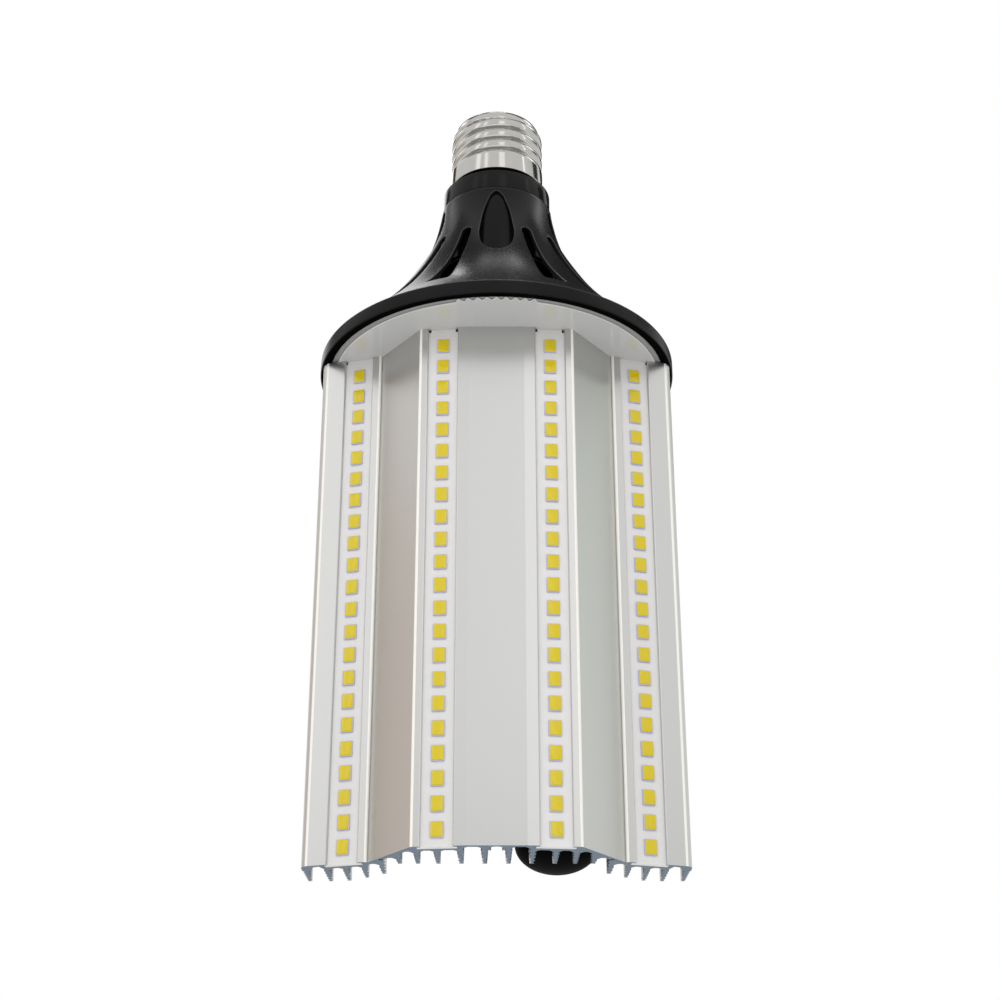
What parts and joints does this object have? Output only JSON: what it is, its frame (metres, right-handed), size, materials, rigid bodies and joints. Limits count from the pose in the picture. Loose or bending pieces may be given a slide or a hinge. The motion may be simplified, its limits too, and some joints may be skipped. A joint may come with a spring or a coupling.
{
  "type": "led light bulb",
  "caption": "Half-round LED lamp: screw cap on a swivel, black vented trumpet neck, white disc and a finned aluminium extrusion that carries LED boards on its front.",
  "frame": {"origin": "on the lamp axis, in the plane of the heat sink's lower cut end, which is the foot of the object's box", "axes": "+Z along the lamp axis towards the cap, -Y the way the LEDs face, +X the picture's right"},
  "size_m": [0.0954, 0.0954, 0.223],
  "materials": {
    "cap_metal": "bright nickel plate",
    "insulator": "glossy black",
    "contact": "plain",
    "neck_black": "satin black",
    "plate_white": "glossy white",
    "sink_aluminium": "satin anodised",
    "board_white": "white solder mask",
    "led_yellow": "yellow phosphor",
    "case_black": "satin black",
    "circuit_green": "solder mask",
    "ferrite": "matte",
    "can_sleeve": "shrink sleeve",
    "chip_black": "matte"
  },
  "bodies": {
    "lamp": {"neck_housing": "neck_black", "reflector_plate": "plate_white", "heat_sink": "sink_aluminium", "inner_board_left": "board_white", "inner_board_right": "board_white", "outer_board_left": "board_white", "outer_board_right": "board_white", "inner_leds_left": "led_yellow", "inner_leds_right": "led_yellow", "outer_leds_left": "led_yellow", "outer_leds_right": "led_yellow", "driver_case": "case_black", "driver_board": "circuit_green", "transformer": "ferrite", "choke": "ferrite", "input_capacitor": "can_sleeve", "output_capacitor": "can_sleeve", "rectifier": "chip_black", "fuse": "chip_black"},
    "cap": {"screw_shell": "cap_metal", "cap_insulator": "insulator", "tip_contact": "contact", "base_collar": "neck_black"}
  },
  "joints": [
    {"name": "cap_swivel", "type": "hinge", "parent": "lamp", "child": "cap", "pos_m": [0, 0, 0.1935], "axis": [0, 0, 1], "range_deg": [-175, 175]}
  ]
}
